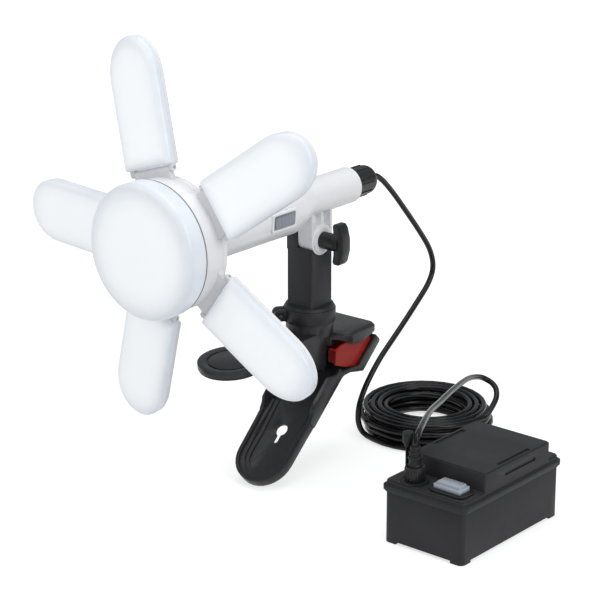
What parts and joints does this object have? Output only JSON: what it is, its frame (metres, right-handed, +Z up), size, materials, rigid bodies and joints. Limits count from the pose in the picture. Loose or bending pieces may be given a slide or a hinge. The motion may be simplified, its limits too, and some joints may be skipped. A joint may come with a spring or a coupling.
{
  "type": "led clip light",
  "caption": "Clip-on work light with folding leaf lamps round a main lens, a tilting barrel on a swivel clamp, and a battery box on a coiled cord.",
  "frame": {"origin": "centre of the bounding box in X and Y without the cord, on the surface the light stands on", "axes": "+Z up, the lamp faces -Y, +X towards the battery box"},
  "size_m": [0.408, 0.4024, 0.4047],
  "materials": {
    "white_plastic": "satin white moulding",
    "frosted_lens": "frosted translucent white",
    "circuit_board": "board with light chips",
    "steel_hardware": "plated",
    "cell_jacket": "cell jacket",
    "clear_cap": "translucent blue-grey",
    "red_grip": "soft red liner",
    "black_rubber": "smooth",
    "black_plastic": "fine grain",
    "dark_plastic": "fine grain"
  },
  "bodies": {
    "stem": {"post": "dark_plastic", "post_retainer": "steel_hardware", "tilt_nut": "steel_hardware", "battery_case": "dark_plastic", "battery_lid": "dark_plastic", "lid_seal": "black_rubber", "cell_holder": "black_plastic", "battery_cells": "cell_jacket", "box_switch_bezel": "black_plastic", "inlet_socket": "black_plastic", "plug_body": "black_rubber", "dust_cap": "black_rubber", "cord_coil": "black_rubber", "cord_upper": "black_rubber", "cord_lower": "black_rubber"},
    "plug_nut": {"plug_nut": "black_plastic"},
    "box_button": {"box_button": "clear_cap"},
    "upper_jaw": {"upper_jaw": "dark_plastic", "upper_grip_liner": "red_grip", "jaw_pad": "black_rubber", "swivel_collar": "dark_plastic", "collar_screw": "steel_hardware"},
    "lower_jaw": {"lower_jaw": "dark_plastic", "lower_grip_liner": "red_grip", "jaw_pin": "steel_hardware", "jaw_spring": "steel_hardware"},
    "tilt_knob": {"tilt_knob": "black_plastic", "tilt_bolt": "steel_hardware"},
    "head": {"barrel": "white_plastic", "cord_gland": "black_plastic", "hub_ring": "white_plastic", "main_lens": "frosted_lens", "led_board_main": "circuit_board", "driver_board": "circuit_board", "head_switch_frame": "white_plastic", "leaf_pins": "steel_hardware"},
    "head_button": {"head_button": "clear_cap"},
    "leaf_1": {"leaf_shell_1": "white_plastic", "leaf_lens_1": "frosted_lens", "leaf_board_1": "circuit_board"},
    "leaf_2": {"leaf_shell_2": "white_plastic", "leaf_lens_2": "frosted_lens", "leaf_board_2": "circuit_board"},
    "leaf_3": {"leaf_shell_3": "white_plastic", "leaf_lens_3": "frosted_lens", "leaf_board_3": "circuit_board"},
    "leaf_4": {"leaf_shell_4": "white_plastic", "leaf_lens_4": "frosted_lens", "leaf_board_4": "circuit_board"},
    "leaf_5": {"leaf_shell_5": "white_plastic", "leaf_lens_5": "frosted_lens", "leaf_board_5": "circuit_board"}
  },
  "joints": [
    {"name": "head_tilt", "type": "hinge", "parent": "stem", "child": "head", "pos_m": [-0.03084, 0.066, 0.2065], "axis": [1, 0, 0], "range_deg": [-60, 20], "deforming": ["cord_upper"]},
    {"name": "clamp_swivel", "type": "hinge", "parent": "stem", "child": "upper_jaw", "pos_m": [-0.03774, 0.066, 0.1315], "axis": [0, 0, 1], "range_deg": [-90, 90]},
    {"name": "jaw_hinge", "type": "hinge", "parent": "upper_jaw", "child": "lower_jaw", "pos_m": [-0.03809, 0.07599, 0.0995], "axis": [-0.9994, -0.0349, 0], "range_deg": [0, 48]},
    {"name": "knob_turn", "type": "hinge", "parent": "stem", "child": "tilt_knob", "pos_m": [-0.01774, 0.066, 0.2065], "axis": [1, 0, 0], "continuous": true},
    {"name": "head_switch_press", "type": "slide", "parent": "head", "child": "head_button", "axis": [-0.9976, 0, 0.0698], "range_m": [0, 0.0012], "stiffness_N_per_m": 400},
    {"name": "box_switch_press", "type": "slide", "parent": "stem", "child": "box_button", "axis": [0, 0, -1], "range_m": [0, 0.0015], "stiffness_N_per_m": 400},
    {"name": "plug_nut_turn", "type": "hinge", "parent": "stem", "child": "plug_nut", "pos_m": [0.14406, -0.0185, 0.0615], "axis": [0, 0, 1], "continuous": true},
    {"name": "leaf_hinge_1", "type": "hinge", "parent": "head", "child": "leaf_1", "pos_m": [-0.05337, -0.1105, 0.29911], "axis": [-0.9511, 0, -0.309], "range_deg": [-6.5, 75]},
    {"name": "leaf_hinge_2", "type": "hinge", "parent": "head", "child": "leaf_2", "pos_m": [0.01259, -0.1105, 0.27768], "axis": [-0.5878, 0, 0.809], "range_deg": [-6.5, 75]},
    {"name": "leaf_hinge_3", "type": "hinge", "parent": "head", "child": "leaf_3", "pos_m": [0.01259, -0.1105, 0.20832], "axis": [0.5878, 0, 0.809], "range_deg": [-6.5, 75]},
    {"name": "leaf_hinge_4", "type": "hinge", "parent": "head", "child": "leaf_4", "pos_m": [-0.05337, -0.1105, 0.18689], "axis": [0.9511, 0, -0.309], "range_deg": [-6.5, 22]},
    {"name": "leaf_hinge_5", "type": "hinge", "parent": "head", "child": "leaf_5", "pos_m": [-0.09414, -0.1105, 0.243], "axis": [0, 0, -1], "range_deg": [-6.5, 75]}
  ]
}
